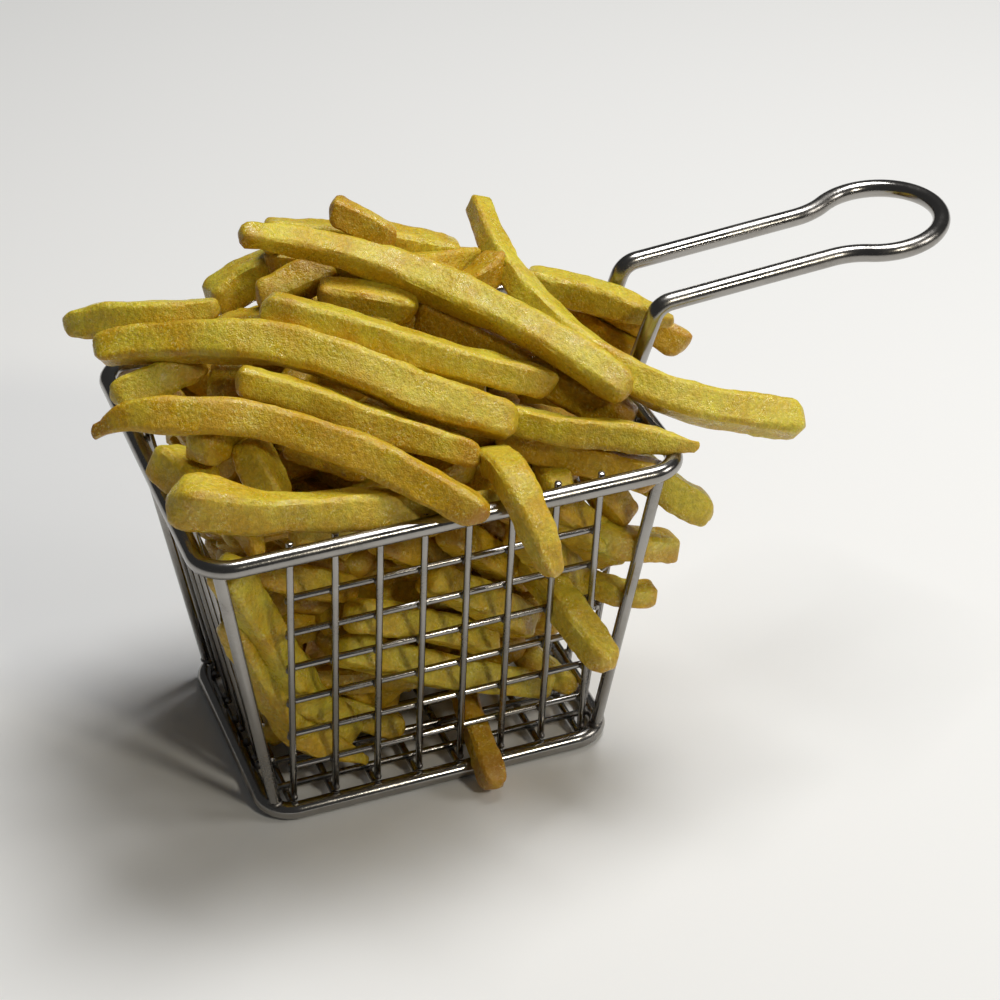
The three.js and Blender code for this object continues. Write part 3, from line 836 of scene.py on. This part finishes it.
# Lets the loose fries sink and push each other aside, each keeping its shape. The placed ones stay put.
def settlePile(placed, placedRadius, loose, looseRadius):
    beads = pile["beads"]
    fixed = np.array([chain(f) for f in placed])
    moving = np.array([chain(f) for f in loose])
    shapes = moving.copy()
    radii = np.repeat(np.r_[placedRadius, looseRadius], beads)
    owner = np.repeat(np.arange(len(fixed) + len(moving)), beads)
    centreShapes = shapes - shapes.mean(1, keepdims=True)
    sameFry = owner[:, None] == owner[None]
    need = radii[:, None] + radii[None]
    first = len(fixed) * beads
    for turn in range(pile["rounds"]):
        last = turn > pile["rounds"] * 0.75
        moving[:, :, 2] -= 0.0 if last else pile["sink"]
        cloud = np.concatenate([fixed.reshape(-1, 3), moving.reshape(-1, 3)])
        own = cloud[first:]
        apart = own[:, None] - cloud[None]
        distance = np.sqrt((apart ** 2).sum(-1)) + 1e-6
        overlap = np.where(sameFry[first:], 0, np.clip(need[first:] - distance, 0, None))
        weight = np.where(np.arange(len(cloud)) < first, 0.9, 0.5)
        push = (apart / distance[..., None] * (overlap * weight)[..., None]).sum(1)
        count = np.maximum(1, (overlap > 0).sum(1) ** 0.6)[:, None]
        moving = (own + push / count).reshape(moving.shape)
        r = looseRadius[:, None]
        halfX, halfY = insideLimits(moving[..., 2], 5.3 + r)
        below = moving[..., 2] < basket["rimHeight"] + 4
        moving[..., 0] = np.where(below, np.clip(moving[..., 0], -halfX, halfX), moving[..., 0])
        behind = np.where(moving[..., 2] < 64, pile["behind"], 0)
        moving[..., 1] = np.where(below, np.clip(moving[..., 1], behind - halfY, halfY), moving[..., 1])
        moving[..., 2] = np.minimum(moving[..., 2], ceiling(moving[..., 0], moving[..., 1]))
        bare = np.clip((moving[..., 0] + 12) / 12, 0, 1) * np.clip((10 - moving[..., 1]) / 14, 0, 1)
        moving[..., 2] = np.maximum(moving[..., 2], 2.6 + r + pile["bare"] * bare)
        middle = moving.mean(1, keepdims=True)
        spread = np.einsum("nbi,nbj->nij", moving - middle, centreShapes)
        u, _, v = np.linalg.svd(spread)
        flip = np.sign(np.linalg.det(u @ v))
        u[:, :, 2] *= flip[:, None]
        moving = np.einsum("nij,nbj->nbi", u @ v, centreShapes) + middle
    return moving


def addFries(name, specs, stick):
    points, tones, faces, offset = [], [], [], 0
    for seed, (width, depth, roll, ends, browns, hue, *stops) in enumerate(specs):
        ownSeed = seed * 7 + len(name)
        p, tone = shapeFry(stick, stops, width, depth, roll, ends.split(), browns, hue, ownSeed)
        points.append(p)
        tones.append(tone)
        faces += [tuple(i + offset for i in face) for face in stick[1]]
        offset += len(p)
    points = np.concatenate(points) * mm + np.array(basketMiddle)
    mesh = bpy.data.meshes.new(name)
    mesh.from_pydata(points.tolist(), [], faces)
    tone = mesh.color_attributes.new("fryTone", "FLOAT_COLOR", "POINT")
    tone.data.foreach_set("color", np.concatenate(tones).astype(np.float32).ravel())
    mesh.materials.append(potato)
    heap = bpy.data.objects.new(name, mesh)
    bpy.context.scene.collection.objects.link(heap)
    pick(heap)
    bpy.ops.object.mode_set(mode="EDIT")
    bpy.ops.mesh.select_all(action="SELECT")
    bpy.ops.mesh.normals_make_consistent(inside=False)
    bpy.ops.object.mode_set(mode="OBJECT")
    smooth(heap, 50)
    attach(heap, "root")
    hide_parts("fries")
    print(name, len(specs), "fries,", len(heap.data.polygons), "faces")
    return heap


rng = np.random.RandomState(pile["seed"])
placedFries = topFries + sideFries
loose = randomFries(rng)
looseWidths = pile["width"] * rng.uniform(0.86, 1.12, len(loose))
halfWidth = 0.53  # a little over half, so that the fries settle just clear of each other
placedRadius = np.array([f[0] * halfWidth for f in placedFries])
resting = settlePile([f[6:] for f in placedFries], placedRadius, loose, looseWidths * halfWidth)
kinds = ["blunt", "slant", "blunt", "point", "knob"]
looseSpecs = []
for chainPoints, width in zip(resting, looseWidths):
    ends = kinds[rng.randint(5)] + " " + kinds[rng.randint(5)]
    browns = (rng.uniform(0, 0.7), rng.uniform(0, 0.7), max(0, rng.normal(0.04, 0.09)))
    stops = [tuple(chainPoints[i]) for i in (0, 6, 12)]
    depth = width * rng.uniform(0.9, 1.05)
    roll = rng.uniform(-20, 70)
    looseSpecs.append((width, depth, (roll, roll), ends, browns, rng.uniform(0.3, 1), *stops))


coreShape = {"cuts": 60, "low": 15, "high": 57, "mound": 18, "inset": 14, "ridges": 5, "fineLumps": 1.6}


# Painted shade: an uneven dark brown mass deep in the heap, put where the shade between the fries falls.
def addShadeCore():
    clearSelection()
    bpy.ops.mesh.primitive_cube_add(size=1)
    core = bpy.context.object
    bpy.ops.object.mode_set(mode="EDIT")
    bpy.ops.mesh.subdivide(number_cuts=coreShape["cuts"])
    bpy.ops.object.mode_set(mode="OBJECT")
    low, high = coreShape["low"], coreShape["high"]
    count = len(core.data.vertices)
    unit = np.zeros(count * 3)
    core.data.vertices.foreach_get("co", unit)
    unit = unit.reshape(-1, 3)
    share = unit[:, 2] + 0.5
    halfX, halfY = insideLimits(low + (basket["rimHeight"] - low) * share, coreShape["inset"])
    closing = np.sqrt(np.clip(1 - (2 * np.abs(unit[:, :2]).max(1)) ** 4 * 0.4, 0, 1))
    mound = coreShape["mound"] * np.clip(1 - (2 * unit[:, 0]) ** 2, 0, 1)
    mound *= np.clip(1 - (2 * unit[:, 1]) ** 2, 0, 1)
    z = low + share * (high - low + mound)
    points = np.stack([unit[:, 0] * 2 * halfX * closing, unit[:, 1] * 2 * halfY * closing, z], axis=1)
    leaning = [Vector((p[0] * 0.05 + p[2] * 0.09, p[1] * 0.13, p[2] * 0.13)) for p in points]
    ridges = np.array([noise.noise(at) for at in leaning])
    fineLumps = np.array([noise.noise(Vector(p) * 0.35) for p in points])
    outward = points - np.array([0, 0, (low + high) / 2])
    outward /= np.linalg.norm(outward, axis=1, keepdims=True)
    points = points + outward * (coreShape["ridges"] * ridges + coreShape["fineLumps"] * fineLumps)[:, None]
    points[:, 2] = np.maximum(points[:, 2], 3.2)  # clear of the floor wires
    # Painted shade: dark brown all over, for the shade deep between the fries.
    browned = np.clip(0.62 + 0.4 * ridges, 0, 1)
    tones = np.stack([browned, np.full(count, 0.9), np.zeros(count), np.ones(count)], axis=1)
    core.data.vertices.foreach_set("co", (points * mm + np.array(basketMiddle)).ravel())
    tone = core.data.color_attributes.new("fryTone", "FLOAT_COLOR", "POINT")
    tone.data.foreach_set("color", tones.astype(np.float32).ravel())
    core.name = "heapShadeCore"
    core.data.name = "heapShadeCore"
    core.data.materials.append(potato)
    smooth(core, 60)
    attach(core, "root")
    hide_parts("fries")


addShadeCore()
addFries("topFries", topFries, fine)
addFries("sideFries", sideFries, fine)
addFries("looseFries", looseSpecs, coarse)
print("fries ready")

# The stage is only a floor, three soft lamps and the camera.
floorLook = {"colour": (0.88, 0.88, 0.87), "size": 4}


def addFloor():
    clearSelection()
    bpy.ops.mesh.primitive_plane_add(size=floorLook["size"], location=(0, 0, -0.0002))
    floor = bpy.context.object
    floor.name = "floor"
    material = bpy.data.materials.new("paleFloor")
    material.use_nodes = True
    tree = material.node_tree
    shader = tree.nodes["Principled BSDF"]
    where = tree.nodes.new("ShaderNodeTexCoord").outputs["Object"]
    cloud = addNoise(tree, where, 3, 2)
    darker = tuple(c * 0.97 for c in floorLook["colour"])
    tree.links.new(addMix(tree, cloud, floorLook["colour"], darker), shader.inputs["Base Color"])
    shader.inputs["Roughness"].default_value = 0.7
    floor.data.materials.append(material)


lights = {
    "over": {"at": (0.24, 0.14, 0.89), "size": 0.40, "power": 6.9, "tint": (1, 1, 1)},
    "front": {"at": (0.3, -0.85, 0.78), "size": 0.12, "power": 2.8, "tint": (1, 0.94, 0.80)},
    "right": {"at": (0.8, -0.45, 0.6), "size": 0.3, "power": 1.8, "tint": (1, 0.97, 0.92)},
}


skyLook = {"colour": (0.97, 0.98, 1), "strength": 0.06}
lampAim = Vector((0, 0, 0.05))


def addLights():
    world = bpy.data.worlds.new("studio")
    bpy.context.scene.world = world
    world.use_nodes = True
    sky = world.node_tree.nodes["Background"]
    sky.inputs["Color"].default_value = (*skyLook["colour"], 1)
    sky.inputs["Strength"].default_value = skyLook["strength"]
    for name, light in lights.items():
        clearSelection()
        bpy.ops.object.light_add(type="AREA", location=light["at"])
        lamp = bpy.context.object
        lamp.name = name + "Light"
        lamp.data.size = light["size"]
        lamp.data.energy = light["power"]
        lamp.data.color = light["tint"]
        aim = lampAim - Vector(light["at"])
        lamp.rotation_euler = aim.to_track_quat("-Z", "Y").to_euler()


cameraPlace = {"at": (-0.1758, -0.4692, 0.3910), "turn": (55.92, 1.22, -20.24), "lens": 102.3}


def addCamera():
    clearSelection()
    turn = [math.radians(a) for a in cameraPlace["turn"]]
    bpy.ops.object.camera_add(location=cameraPlace["at"], rotation=turn)
    camera = bpy.context.object
    camera.data.sensor_width = 36
    camera.data.lens = cameraPlace["lens"]
    bpy.context.scene.camera = camera


addFloor()
addLights()
addCamera()
bpy.context.scene.view_settings.view_transform = "Standard"
print("stage ready")
